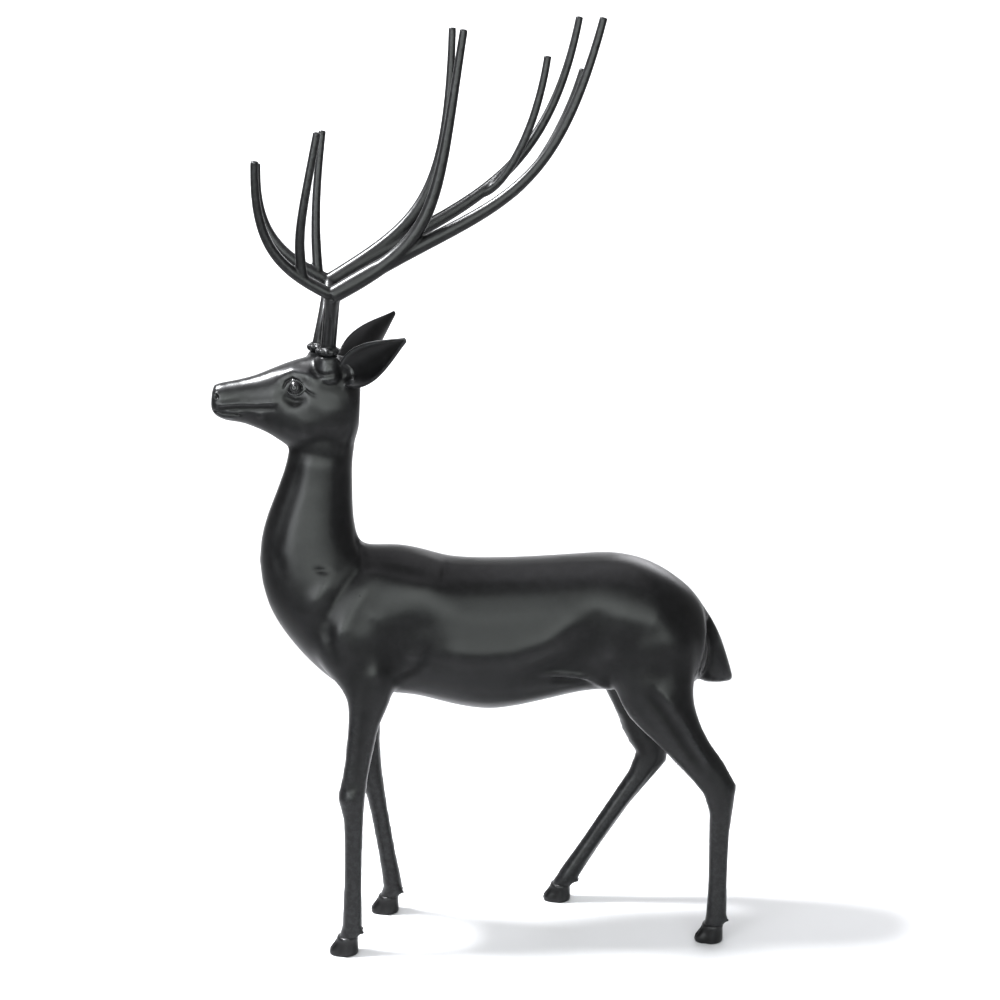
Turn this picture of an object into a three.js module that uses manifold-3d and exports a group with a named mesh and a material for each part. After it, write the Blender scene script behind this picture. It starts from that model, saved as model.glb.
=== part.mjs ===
// A standing stag, cast in metal with a black finish, with a pair of five-point antlers.
// Units are millimetres and +Z is up. The stag looks along -X, and its left side is at -Y.
// The body is one casting. Each antler is a casting of its own that seats on a pedicle of the head.

import * as THREE from 'three';
import { mergeVertices } from 'three/addons/utils/BufferGeometryUtils.js';
import Module from 'manifold-3d';

// Driving dimensions of the figure
const withersHeight = 720;      // soles to the top of the shoulders
const bodyWidth = 180;          // across the ribs
const stanceFront = 160;        // between the middles of the front hooves
const stanceRear = 196;         // between the middles of the rear hooves

// Driving dimensions of the antlers
const antlerHeight = 540;       // seat of the burr to the highest tip
const antlerSpread = 250;       // between the left and the right tips
const beamDiameter = 28;        // rear beam at the fork
const browDiameter = 21;        // front tines at the fork
const tipDiameter = 13;         // rounded end of every tine
const stemDiameter = 26;        // between burr and fork
const burrDiameter = 42;
const burrHeight = 13;
const burrClearance = 6;        // between the two burrs
const fluteCount = 7;           // upright flutes around the stem
const fluteDepth = 1.4;
const seamGap = 0.3;            // between a burr and its pedicle

// Driving dimensions of the small forms
const hoofLength = 51;
const hoofWidth = 40;
const hoofHeight = 27;
const crownDiameter = 36;       // top of the hoof, where the pastern ends
const crownInset = 8;           // narrower rim of the hoof that is sunk in the pastern
const cleftWidth = 5;
const dewclawLength = 18;
const jointRounding = 0.16;     // share of a bone that is rounded off at a joint
const earLength = 144;
const earWidth = 68;
const earThickness = 6;
const earInset = 18;            // stretch of the ear that is sunk in the skull
const eyeDiameter = 22;
const lidThickness = 3;
const grooveDiameter = 3.2;     // mouth line and tear line
const nostrilDiameter = 12;

// Smoothness of the faceted surfaces
const trunkSides = 22;
const headSides = 20;
const limbSides = 10;
const tineSides = 7;
const trunkSteps = 2;           // rings from one station of the trunk to the next
const headSteps = 2;
const limbRings = 22;
const tineRings = 7;
const turnedSides = 12;         // burrs, pedicles and lids

// The figure is drawn on a grid that counts 720 steps from the soles to the withers,
// and the antlers on one that counts 540 steps from the burr to the highest tip.
const step = withersHeight / 720;
const antlerStep = antlerHeight / 540;
const sideways = bodyWidth / 180;
const left = -1;
const right = 1;
const across = new THREE.Vector3(0, 1, 0);
const up = new THREE.Vector3(0, 0, 1);

const wasm = await Module();
wasm.setup();

// A closed geometry as a solid that can be joined and cut
function solid(geometry) {
  geometry.deleteAttribute('normal');
  geometry.deleteAttribute('uv');
  const merged = mergeVertices(geometry);
  return new wasm.Manifold(new wasm.Mesh({
    numProp: 3,
    vertProperties: new Float32Array(merged.attributes.position.array),
    triVerts: new Uint32Array(merged.index.array),
  }));
}

function meshFrom(body, name, material) {
  const { vertProperties, triVerts } = body.getMesh();
  const geometry = new THREE.BufferGeometry();
  geometry.setAttribute('position', new THREE.BufferAttribute(new Float32Array(vertProperties), 3));
  geometry.setIndex(new THREE.BufferAttribute(new Uint32Array(triVerts), 1));
  geometry.computeVertexNormals();
  const mesh = new THREE.Mesh(geometry, material);
  mesh.name = name;
  return mesh;
}

function enclosedVolume(points, faces) {
  let sum = 0;
  for (let f = 0; f < faces.length; f += 3) {
    const [a, b, c] = [points[faces[f]], points[faces[f + 1]], points[faces[f + 2]]];
    sum += a.dot(b.clone().cross(c));
  }
  return sum / 6;
}

// A closed skin over a row of rings with equally many points
function skin(rings) {
  const count = rings[0].length;
  const points = rings.flat();
  const faces = [];
  for (let ring = 0; ring < rings.length - 1; ring++) {
    for (let k = 0; k < count; k++) {
      const here = ring * count + k;
      const beside = ring * count + (k + 1) % count;
      faces.push(here, beside, beside + count, here, beside + count, here + count);
    }
  }
  const lastRing = (rings.length - 1) * count;
  for (const [start, outwards] of [[0, false], [lastRing, true]]) {
    const middle = new THREE.Vector3();
    points.slice(start, start + count).forEach((point) => middle.addScaledVector(point, 1 / count));
    const hub = points.push(middle) - 1;
    for (let k = 0; k < count; k++) {
      const here = start + k;
      const beside = start + (k + 1) % count;
      faces.push(...(outwards ? [here, beside, hub] : [beside, here, hub]));
    }
  }
  if (enclosedVolume(points, faces) < 0) faces.reverse();
  const geometry = new THREE.BufferGeometry().setFromPoints(points);
  geometry.setIndex(faces);
  return solid(geometry);
}

// A curve that passes through one row of numbers for each station
function track(rows) {
  return new THREE.CatmullRomCurve3(rows.map((row) => new THREE.Vector3(...row)), false, 'centripetal');
}

// A form with its middle on the plane of symmetry. A station joins a low and a high point of the side
// view, with the half width, the height share of the widest place, and how full the section is.
function symmetricForm(stations) {
  const low = track(stations.map(([x, z]) => [x * step, 0, z * step]));
  const high = track(stations.map(([, , x, z]) => [x * step, 0, z * step]));
  const girth = track(stations.map(([, , , , halfWidth, widest, fullness]) => (
    [halfWidth * sideways, widest, fullness])));
  const pointAt = (station, angle) => {
    const t = station / (stations.length - 1);
    const [bottom, top, size] = [low.getPoint(t), high.getPoint(t), girth.getPoint(t)];
    const rise = Math.cos(angle);
    const reach = Math.sin(angle);
    const share = size.y + (rise > 0 ? 1 - size.y : size.y) * rise;
    const point = bottom.lerp(top, share);
    point.y = size.x * Math.sign(reach) * Math.abs(reach) ** size.z;
    return point;
  };
  const rings = (sides, steps) => {
    const total = (stations.length - 1) * steps;
    return Array.from({ length: total + 1 }, (_, ring) => (
      Array.from({ length: sides }, (_, k) => pointAt(ring / steps, (2 * Math.PI * k) / sides))));
  };
  return { pointAt, rings };
}

// Trunk and neck, from the rump to the back of the skull
const trunk = symmetricForm([
  [398, 505, 398, 548, 26, 0.5, 1],         // root of the tail
  [388, 466, 386, 604, 58, 0.5, 0.9],
  [356, 446, 351, 642, 80, 0.52, 0.9],
  [302, 450, 297, 676, 92, 0.54, 0.9],      // croup
  [240, 450, 237, 692, 92, 0.55, 0.9],
  [176, 447, 173, 692, 88, 0.54, 0.9],      // loin
  [105, 433, 103, 690, 89, 0.5, 0.9],
  [16, 420, 16, 690, 90, 0.48, 0.9],        // deepest place of the belly
  [-55, 433, -53, 695, 90, 0.48, 0.9],
  [-116, 451, -98, 709, 87, 0.48, 0.9],     // ribs behind the shoulder
  [-178, 458, -139, 719, 84, 0.45, 0.92],   // withers
  [-239, 468, -170, 720, 81, 0.42, 0.95],
  [-285, 504, -187, 720, 77, 0.42, 0.95],   // brisket
  [-332, 559, -196, 720, 72, 0.44, 1],
  [-366, 619, -202, 722, 66, 0.46, 1],      // breast
  [-380, 698, -208, 728, 59, 0.48, 1],      // root of the neck
  [-370, 762, -215, 752, 53, 0.5, 1],
  [-355, 802, -218, 784, 48, 0.5, 1],
  [-338, 845, -218, 828, 44, 0.5, 1],
  [-326, 880, -218, 876, 42, 0.5, 1],       // throat
  [-318, 925, -210, 935, 40, 0.5, 1],
  [-300, 960, -208, 985, 34, 0.5, 1],       // inside the skull
]);

// Head, from the nose to the back of the skull
const head = symmetricForm([
  [-452, 967, -449, 993, 14, 0.5, 1],       // flat of the nose
  [-448, 956, -445, 1004, 20, 0.5, 0.9],
  [-430, 945, -426, 1008, 23, 0.5, 0.85],   // lips
  [-402, 940, -400, 1013, 25, 0.5, 0.85],
  [-379, 931, -376, 1019, 29, 0.52, 0.85],  // bridge of the nose
  [-353, 918, -350, 1029, 36, 0.58, 0.85],
  [-326, 898, -323, 1039, 43, 0.62, 0.85],  // eyes
  [-300, 884, -296, 1047, 47, 0.6, 0.9],    // cheeks
  [-273, 875, -269, 1052, 48, 0.55, 0.95],
  [-246, 872, -240, 1050, 46, 0.52, 1],
  [-224, 884, -216, 1042, 40, 0.52, 1],
  [-208, 925, -203, 1008, 24, 0.5, 1],      // back of the skull
]);
const eyeStation = 6.5;
const eyeAngle = 1.24;
const nostrilStation = 0.9;
const nostrilAngle = 1.1;

// The middle line of a leg: straight bones, rounded off where they meet
function bonePath(joints) {
  const points = joints.map((joint) => new THREE.Vector3(...joint));
  const path = new THREE.CurvePath();
  let start = points[0];
  points.slice(1, -1).forEach((joint, k) => {
    const before = joint.clone().lerp(points[k], jointRounding);
    const after = joint.clone().lerp(points[k + 2], jointRounding);
    path.add(new THREE.LineCurve3(start, before));
    path.add(new THREE.QuadraticBezierCurve3(before, joint, after));
    start = after;
  });
  path.add(new THREE.LineCurve3(start, points.at(-1)));
  return (place) => {
    const joint = THREE.MathUtils.clamp(Math.round(place), 1, points.length - 2);
    const away = (place - joint) / jointRounding;
    const bend = path.curves[2 * joint - 1];
    if (Math.abs(away) <= 1) return bend.getPoint((away + 1) / 2);
    const bone = Math.floor(Math.min(place, points.length - 1.001));
    return points[bone].clone().lerp(points[bone + 1], place - bone);
  };
}

// A leg follows its joints. A row of its profile gives the place along the joints, the depth from
// front to back, the width from side to side, and how far the section lies in front of the joints.
function limb(joints, profile) {
  const middleAt = bonePath(joints);
  const flesh = track(profile.map(([, ...size]) => size.map((value) => value * step)));
  const places = profile.map(([place]) => place);
  const sizeAt = (place) => {
    const next = Math.max(1, places.findIndex((value) => value >= place));
    const share = (place - places[next - 1]) / (places[next] - places[next - 1]);
    return flesh.getPoint((next - 1 + share) / (places.length - 1));
  };
  const rings = Array.from({ length: limbRings + 1 }, (_, ring) => {
    const place = places[0] + ((places.at(-1) - places[0]) * ring) / limbRings;
    const along = middleAt(Math.min(place + 0.1, 4)).sub(middleAt(Math.max(place - 0.1, 0)));
    const forwards = across.clone().cross(along).setY(0).normalize();
    const { x: depth, y: width, z: shift } = sizeAt(place);
    return Array.from({ length: limbSides }, (_, k) => {
      const angle = (2 * Math.PI * k) / limbSides;
      return middleAt(place)
        .addScaledVector(forwards, shift + (depth / 2) * Math.cos(angle))
        .addScaledVector(across, (width / 2) * Math.sin(angle));
    });
  });
  return skin(rings);
}

// Places 0 to 4 are the shoulder, elbow, knee, fetlock and crown of the hoof
const frontProfile = [
  [0, 60, 14, 0],          // sunk in the trunk
  [0.16, 128, 48, 2],
  [0.34, 156, 68, 5],
  [0.62, 146, 72, 6],
  [0.85, 106, 66, 0],
  [1, 86, 60, -2],
  [1.2, 58, 50, 1],
  [1.45, 49, 43, 2],
  [1.75, 40, 35, 1],
  [1.97, 46, 38, 4],       // knee
  [2.14, 33, 32, -1],
  [2.4, 29, 26, -1],
  [2.8, 29, 27, 0],
  [3, 33, 33, 0],          // fetlock
  [3.5, 31, 32, 0],
  [4, crownDiameter / step, crownDiameter / step, 0],
];

// Places 0 to 4 are the hip, stifle, hock, fetlock and crown of the hoof
const rearProfile = [
  [0, 60, 14, 0],          // sunk in the trunk
  [0.18, 128, 54, 0],
  [0.4, 158, 80, 0],
  [0.8, 156, 84, -4],
  [1.05, 138, 76, -5],
  [1.33, 92, 62, 1],
  [1.55, 72, 50, 3],
  [1.75, 63, 42, 1],
  [2, 58, 37, -5],         // hock
  [2.14, 41, 34, -3],
  [2.4, 33, 29, 0],
  [2.8, 31, 28, 0],
  [3, 34, 33, 0],          // fetlock
  [3.5, 32, 32, 0],
  [4, crownDiameter / step, crownDiameter / step, 0],
];

// The right thigh swings forwards, which swells its gaskin
const swungProfile = rearProfile.map(([place, depth, width, shift]) => {
  const swell = place > 1 && place < 1.9 ? 12 : 0;
  return [place, depth + swell, width, shift + swell / 2];
});

// Side view of each leg from top to bottom, and how wide it stands: the last joint is the crown
const crown = hoofHeight / step;
const legs = [
  {
    side: left,
    profile: frontProfile,
    stance: stanceFront,
    shoulder: 0.66,
    joints: [[-222, 650], [-198, 470], [-230, 288], [-235, 52], [-242, crown]],
  },
  {
    side: right,
    profile: frontProfile,
    stance: stanceFront,
    shoulder: 0.66,
    joints: [[-222, 650], [-203, 452], [-193, 276], [-155, 52], [-162, crown]],
  },
  {
    side: left,
    profile: rearProfile,
    stance: stanceRear,
    shoulder: 0.58,
    joints: [[296, 620], [292, 462], [413, 282], [411, 52], [406, crown]],
  },
  {
    side: right,
    profile: swungProfile,
    stance: stanceRear,
    shoulder: 0.58,
    joints: [[300, 610], [297, 452], [325, 286], [172, 50], [159, crown]],
  },
];

function ellipse(middle, length, width, sides) {
  return Array.from({ length: sides }, (_, k) => {
    const angle = (2 * Math.PI * k) / sides;
    return new THREE.Vector3(
      middle.x - (length / 2) * Math.cos(angle),
      middle.y + (width / 2) * Math.sin(angle),
      middle.z);
  });
}

// A hoof grows longer towards the toe from crown to sole, and a cleft parts its two claws
function hoof(top) {
  const heel = top.x + crownDiameter * 0.45;
  const section = (rise, inset) => {
    const share = Math.min(rise / hoofHeight, 1);
    const length = THREE.MathUtils.lerp(hoofLength, crownDiameter, share);
    const width = THREE.MathUtils.lerp(hoofWidth, crownDiameter, share);
    const middle = new THREE.Vector3(heel - length / 2, top.y, rise);
    return ellipse(middle, length - inset, width - inset, limbSides);
  };
  const toe = heel - hoofLength;
  const wedge = new THREE.Shape([
    new THREE.Vector2(toe - cleftWidth, top.y - cleftWidth / 2),
    new THREE.Vector2(toe + hoofLength * 0.62, top.y),
    new THREE.Vector2(toe - cleftWidth, top.y + cleftWidth / 2),
  ]);
  const cleft = new THREE.ExtrudeGeometry(wedge, { depth: hoofHeight * 2, bevelEnabled: false });
  cleft.translate(0, 0, -hoofHeight);
  const claws = skin([section(hoofHeight * 1.25, crownInset), section(hoofHeight, 0), section(0, 0)]);
  return claws.subtract(solid(cleft));
}

// The pair of dewclaws stands out behind the fetlock
function dewclaws(fetlock) {
  return [left, right].map((side) => {
    const claw = new THREE.ConeGeometry(dewclawLength * 0.36, dewclawLength, 6);
    claw.rotateX(-Math.PI / 2);
    claw.rotateY(-0.9);
    claw.translate(fetlock.x + 17 * step, fetlock.y + side * 9 * step, fetlock.z - 12 * step);
    return solid(claw);
  });
}

function leg({ side, profile, stance, shoulder, joints }) {
  const outwards = (share) => side * (stance / 2) * share;
  const spread = [shoulder, shoulder + 0.08, 0.9, 0.98, 1];
  const places = joints.map(([x, z], k) => [x * step, outwards(spread[k]), z * step]);
  const [fetlock, top] = places.slice(-2).map((place) => new THREE.Vector3(...place));
  return [limb(places, profile), hoof(top), ...dewclaws(fetlock)];
}

// The tail is a short hanging flap, a wedge in the side view
const tail = symmetricForm([
  [352, 606, 384, 606, 16, 0.5, 1],
  [366, 576, 408, 570, 23, 0.5, 0.9],
  [376, 540, 425, 536, 26, 0.5, 0.9],
  [382, 490, 441, 490, 24, 0.5, 0.9],
  [386, 460, 450, 459, 17, 0.5, 0.9],
  [396, 453, 450, 453, 9, 0.5, 1],
]);

// An ear is a cupped leaf. Its hollow side looks out and forwards, and the right one is pricked higher.
function ear(side) {
  const along = new THREE.Vector3(0.668, side * 0.583, side === left ? 0.5 : 0.6).normalize();
  const root = new THREE.Vector3(-228 * step, side * 34 * sideways, 1022 * step);
  root.addScaledVector(along, -earInset);
  const wide = up.clone().addScaledVector(along, -up.dot(along)).normalize();
  const hollow = along.clone().cross(wide).multiplyScalar(-side);
  const strips = 6;
  const rings = [0, 0.1, 0.22, 0.36, 0.52, 0.68, 0.82, 0.92, 1].map((share) => {
    const swelling = 0.3 + 0.7 * Math.sin(Math.PI * share ** 0.9);
    const bluntTip = 1 - 0.8 * share ** 6;
    const halfWidth = (earWidth / 2) * swelling * bluntTip;
    const cup = halfWidth * 0.75 * (1 - 0.55 * share);
    const wall = earThickness * (1 - 0.35 * share);
    const middle = root.clone().addScaledVector(along, (earLength + earInset) * share);
    const place = (reach, depth) => middle.clone()
      .addScaledVector(wide, halfWidth * reach)
      .addScaledVector(hollow, depth);
    const back = [];
    const front = [];
    for (let k = 0; k <= strips; k++) {
      const reach = -1 + (2 * k) / strips;
      const depth = cup * (reach * reach - 0.5);
      back.push(place(reach, depth));
      if (k > 0 && k < strips) front.unshift(place(reach * 0.86, depth + wall));
    }
    return [...back, ...front];
  });
  return skin(rings);
}

function ball(middle, sizes, columns, rows) {
  const geometry = new THREE.SphereGeometry(0.5, columns, rows);
  geometry.scale(...sizes);
  geometry.translate(middle.x, middle.y, middle.z);
  return solid(geometry);
}

// The eye is a ball between two lids that meet at its corners
function eye(side) {
  const middle = head.pointAt(eyeStation, side * eyeAngle);
  const socket = middle.clone().addScaledVector(across, -side * eyeDiameter * 0.28);
  const eyeball = ball(socket, [eyeDiameter, eyeDiameter * 0.75, eyeDiameter * 0.9], 8, 6);
  const lids = new THREE.TorusGeometry(eyeDiameter * 0.56, lidThickness * 0.7, 4, turnedSides);
  lids.scale(1.12, 0.78, 1);
  lids.rotateX(Math.PI / 2);
  lids.rotateZ(side * -0.42);
  lids.rotateY(0.2);
  lids.translate(middle.x, middle.y - side * lidThickness / 2, middle.z);
  return eyeball.add(solid(lids));
}

// A round rod along a curve, thick at its root and rounded off at its tip
function rod(curve, rootDiameter, endDiameter, rings, sides = tineSides) {
  const { normals, binormals } = curve.computeFrenetFrames(rings);
  const section = (middle, k, radius) => Array.from({ length: sides }, (_, side) => {
    const angle = (2 * Math.PI * side) / sides;
    return middle.clone()
      .addScaledVector(normals[k], radius * Math.cos(angle))
      .addScaledVector(binormals[k], radius * Math.sin(angle));
  });
  const radiusAt = (share) => THREE.MathUtils.lerp(rootDiameter, endDiameter, share) / 2;
  const body = Array.from({ length: rings + 1 }, (_, k) => (
    section(curve.getPointAt(k / rings), k, radiusAt(k / rings))));
  const tip = curve.getPointAt(1);
  const onwards = curve.getTangentAt(1);
  const round = [0.5, 0.87].map((rise) => section(
    tip.clone().addScaledVector(onwards, (rise * endDiameter) / 2),
    rings,
    Math.sqrt(1 - rise * rise) * (endDiameter / 2)));
  return skin([...body, ...round]);
}

// A groove cut along the head, through the middle of the places given by station and angle
function groove(places, side) {
  const points = places.map(([station, angle]) => head.pointAt(station, side * angle));
  const path = new THREE.CatmullRomCurve3(points);
  return rod(path, grooveDiameter, grooveDiameter * 0.7, 6, 6);
}

const burrOffset = (burrDiameter + burrClearance) / 2;
const seatDiameter = burrDiameter * 0.84;
const seatHeight = 1055 * step;

// The right burr was set a little further forwards than the left one
function burrX(side) {
  return (side === left ? -256 : -270) * step;
}

// A form turned on an upright axis at the burr, from pairs of radius and height
function turned(pairs, side, height) {
  const profile = pairs.map((pair) => new THREE.Vector2(...pair));
  const geometry = new THREE.LatheGeometry(profile, turnedSides);
  geometry.rotateX(Math.PI / 2);
  geometry.translate(burrX(side), side * burrOffset, height);
  return solid(geometry);
}

// The pedicle rises from the head and carries the burr of the antler on its flat top
function pedicle(side) {
  return turned([
    [0, -40 * step],
    [burrDiameter * 0.56, -40 * step],
    [burrDiameter * 0.5, -16 * step],
    [seatDiameter / 2, 0],
    [0, 0],
  ], side, seatHeight);
}

// Control points of the tines, from the burr: forwards or back, outwards share, upwards.
// A tine that springs from another one names it, with the share of its length.
// Each antler was bent by hand, so most tines of the right one part from their twins.
const fork = [8, 0.62, 108];
const tines = {
  [left]: {
    brow: { points: [fork, [-78, 0.68, 151], [-118, 0.8, 192], [-111, 1, 321]] },
    upright: { from: 'brow', at: 0.2, points: [[-48, 0.76, 205], [-43, 0.86, 220], [-13, 1, 365]] },
    middle: { points: [fork, [184, 0.7, 196], [174, 0.8, 243], [219, 1, 522]] },
    rear: { points: [fork, [255, 0.7, 261], [358, 0.85, 225], [439, 1, 540]] },
    inner: { from: 'rear', at: 0.5, points: [[330, 0.7, 283], [388, 0.62, 376], [413, 0.6, 460]] },
  },
  [right]: {
    brow: { points: [fork, [-78, 0.68, 151], [-118, 0.8, 192], [-111, 1, 299]] },
    upright: { from: 'brow', at: 0.09, points: [[-16, 0.76, 188], [-16, 0.86, 240], [0, 1, 353]] },
    middle: { points: [fork, [168, 0.7, 206], [211, 0.8, 239], [222, 1, 522]] },
    rear: { points: [fork, [218, 0.7, 234], [379, 0.85, 249], [437, 1, 540]] },
    inner: { from: 'rear', at: 0.46, points: [[300, 0.66, 256], [358, 0.6, 343], [378, 0.58, 476]] },
  },
};
const rootDiameters = {
  brow: browDiameter,
  upright: browDiameter * 0.86,
  middle: beamDiameter,
  rear: beamDiameter,
  inner: beamDiameter * 0.6,
};

function antler(side) {
  const seat = new THREE.Vector3(burrX(side), side * burrOffset, seatHeight + seamGap);
  const reach = antlerSpread / 2 - burrOffset;
  const place = ([x, out, z]) => new THREE.Vector3(
    burrX(left) + x * antlerStep,
    seat.y + side * reach * out,
    seat.z + z * antlerStep);
  const curves = {};
  const rods = Object.entries(tines[side]).map(([name, { from, at, points }]) => {
    const start = from ? [curves[from].getPointAt(at)] : [];
    curves[name] = new THREE.CubicBezierCurve3(...start, ...points.map(place));
    return rod(curves[name], rootDiameters[name], tipDiameter, tineRings);
  });
  const burr = turned([
    [0, 0],
    [seatDiameter / 2, 0],
    [burrDiameter * 0.5, burrHeight * 0.35],
    [burrDiameter * 0.48, burrHeight * 0.7],
    [stemDiameter / 2, burrHeight],
    [0, burrHeight],
  ], side, seat.z);
  const lean = side === left ? 3 : 8;
  const stem = new THREE.CubicBezierCurve3(
    seat.clone().addScaledVector(up, burrHeight * 0.4),
    place([(seat.x - burrX(left)) / antlerStep + lean, 0, 40]),
    place([6, 0.4, 80]),
    place(fork));
  return [fluted(stem), ...rods].reduce((whole, piece) => whole.add(piece), burr);
}

// The stem between burr and fork, with upright flutes around it
function fluted(curve) {
  const rings = 4;
  const sides = fluteCount * 2;
  const { normals, binormals } = curve.computeFrenetFrames(rings);
  return skin(Array.from({ length: rings + 1 }, (_, ring) => (
    Array.from({ length: sides }, (_, k) => {
      const angle = (2 * Math.PI * k) / sides;
      const radius = stemDiameter / 2 - (k % 2) * fluteDepth;
      return curve.getPointAt(ring / rings)
        .addScaledVector(normals[ring], radius * Math.cos(angle))
        .addScaledVector(binormals[ring], radius * Math.sin(angle));
    }))));
}

const blackFinish = new THREE.MeshStandardMaterial({ color: 0x2b2c2f, roughness: 0.42, metalness: 0.55 });

const raised = [
  skin(head.rings(headSides, headSteps)),
  skin(tail.rings(turnedSides, 2)),
  ...legs.flatMap(leg),
  ...[left, right].flatMap((side) => [ear(side), eye(side), pedicle(side)]),
];
const sunk = [left, right].flatMap((side) => [
  groove([[1, 2.2], [1.7, 2.05], [2.6, 2.0], [3.1, 1.95]], side),
  ball(
    head.pointAt(nostrilStation, side * nostrilAngle),
    [nostrilDiameter, nostrilDiameter * 0.8, nostrilDiameter * 0.6],
    7, 5),
]);
let casting = skin(trunk.rings(trunkSides, trunkSteps));
raised.forEach((piece) => { casting = casting.add(piece); });
sunk.forEach((piece) => { casting = casting.subtract(piece); });

const stag = new THREE.Group();
stag.add(
  meshFrom(casting, 'stag_body', blackFinish),
  meshFrom(antler(left), 'antler_left', blackFinish),
  meshFrom(antler(right), 'antler_right', blackFinish));

// The origin lies on the ground below the middle of the whole figure
const middle = new THREE.Box3().setFromObject(stag).getCenter(new THREE.Vector3());
stag.position.set(-middle.x, -middle.y, 0);

export default stag;
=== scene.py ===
# %% [markdown]
# # A standing stag, cast in metal with a black finish
# The real object is a garden or hall figure, 1.6 m to the tips of its antlers. Its body is one hollow
# casting, and each antler is a casting of its own that sits on the head. All of it wears one satin black
# finish. The solid model gives every outline and place. This lesson adds what a hand would feel on the
# real surface: soft muscles, folds of skin, eyelids, split hooves, a pearled burr, and the finish itself.

# %% Load the solid model
import math

import bpy
import numpy as np
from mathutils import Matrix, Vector


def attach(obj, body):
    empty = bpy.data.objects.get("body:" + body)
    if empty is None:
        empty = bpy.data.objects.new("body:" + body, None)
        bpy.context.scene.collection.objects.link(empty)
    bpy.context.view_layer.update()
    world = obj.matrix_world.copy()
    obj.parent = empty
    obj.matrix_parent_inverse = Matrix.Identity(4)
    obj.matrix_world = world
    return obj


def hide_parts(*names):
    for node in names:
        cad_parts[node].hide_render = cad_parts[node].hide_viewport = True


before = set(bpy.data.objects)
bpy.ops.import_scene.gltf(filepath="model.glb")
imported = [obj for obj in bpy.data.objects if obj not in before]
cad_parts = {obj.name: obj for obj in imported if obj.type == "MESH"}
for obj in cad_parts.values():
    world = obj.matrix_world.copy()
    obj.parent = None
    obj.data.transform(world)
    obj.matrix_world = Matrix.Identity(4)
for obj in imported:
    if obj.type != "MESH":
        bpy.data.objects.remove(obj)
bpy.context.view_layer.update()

# %% [markdown]
# Blender's operators act on whatever is selected, and loading leaves the solids selected. So small helpers
# come first. One selects a single piece, one adds a modifier and applies it at once, so that every finished
# mesh is plain geometry, and one joins several pieces. Two more select faces or edges in code, where a
# modeller would drag a box with the mouse.

# %% Helpers for selecting and applying
LEFT, RIGHT = -1, 1       # the sign of Y on each side of the stag


def pick(piece):
    bpy.ops.object.select_all(action="DESELECT")
    piece.select_set(True)
    bpy.context.view_layer.objects.active = piece


def apply_modifier(piece, kind, **settings):
    pick(piece)
    bpy.ops.object.modifier_add(type=kind)
    modifier = piece.modifiers[-1]
    for name, value in settings.items():
        setattr(modifier, name, value)
    bpy.ops.object.modifier_apply(modifier=modifier.name)


def join_pieces(pieces, name):
    """Joins the pieces into the first one, which gets the name and a plain transform."""
    pick(pieces[0])
    for piece in pieces:
        piece.select_set(True)
    bpy.ops.object.join()
    bpy.ops.object.transform_apply(location=True, rotation=True, scale=True)
    pieces[0].name = name
    return pieces[0]


def edit_faces(piece, chosen):
    """Opens edit mode with only the chosen faces selected, given as one yes or no for each face."""
    pick(piece)
    mesh = piece.data
    mesh.vertices.foreach_set("select", np.zeros(len(mesh.vertices), bool))
    mesh.edges.foreach_set("select", np.zeros(len(mesh.edges), bool))
    mesh.polygons.foreach_set("select", chosen)
    bpy.context.tool_settings.mesh_select_mode = (False, False, True)
    bpy.ops.object.mode_set(mode="EDIT")


def edit_edges(piece, wanted):
    """Opens edit mode with only the edges selected whose two ends both lie at a wanted place."""
    pick(piece)
    mesh = piece.data
    mesh.vertices.foreach_set("select", np.zeros(len(mesh.vertices), bool))
    mesh.polygons.foreach_set("select", np.zeros(len(mesh.polygons), bool))
    for edge in mesh.edges:
        edge.select = all(wanted(mesh.vertices[end].co) for end in edge.vertices)
    bpy.context.tool_settings.mesh_select_mode = (False, True, False)
    bpy.ops.object.mode_set(mode="EDIT")


print("solids in the frame:", sorted(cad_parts))

# %% [markdown]
# The forms of this figure are soft, so much of the work moves many points a little at once. For that, a mesh
# is read and written as an array of places, with one row of x, y and z for each point.

# %% Helpers for meshes as arrays
def places_of(piece):
    places = np.empty(len(piece.data.vertices) * 3)
    piece.data.vertices.foreach_get("co", places)
    return places.reshape(-1, 3)


def normals_of(piece):
    normals = np.empty(len(piece.data.vertices) * 3)
    piece.data.vertices.foreach_get("normal", normals)
    return normals.reshape(-1, 3)


def set_places(piece, places):
    piece.data.vertices.foreach_set("co", places.ravel())
    piece.data.update()


def face_middles(piece):
    middles = np.empty(len(piece.data.polygons) * 3)
    piece.data.polygons.foreach_get("center", middles)
    return middles.reshape(-1, 3)


def smooth_step(values, low, high):
    """0 below low, 1 above high, and a soft change between them."""
    share = np.clip((values - low) / (high - low), 0, 1)
    return share * share * (3 - 2 * share)


print("soft step from 0 to 1:", smooth_step(np.linspace(0, 1, 5), 0, 1).round(2))

# %% [markdown]
# ## The camera and the studio
# The photograph was taken from the stag's left side, a little from above, with the lens at the height of
# the antler tips. The backdrop is a pale sweep: a floor that curves up behind the figure without a corner,
# made from a plane whose far edge is extruded up and whose corner is bevelled round.

# %% Camera
CAMERA_PLACE = (-0.3143, -3.3179, 1.618)
CAMERA_PITCH = math.radians(76.12)      # 90 degrees would look level
CAMERA_TURN = math.radians(-6)          # a little towards the tail
LENS = 72
SENSOR_WIDTH = 36

camera_data = bpy.data.cameras.new("camera")
camera_data.lens = LENS
camera_data.sensor_width = SENSOR_WIDTH
camera = bpy.data.objects.new("camera", camera_data)
camera.location = CAMERA_PLACE
camera.rotation_euler = (CAMERA_PITCH, 0, CAMERA_TURN)
bpy.context.scene.collection.objects.link(camera)
bpy.context.scene.camera = camera
print("camera", [round(v, 3) for v in camera.location])

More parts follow.
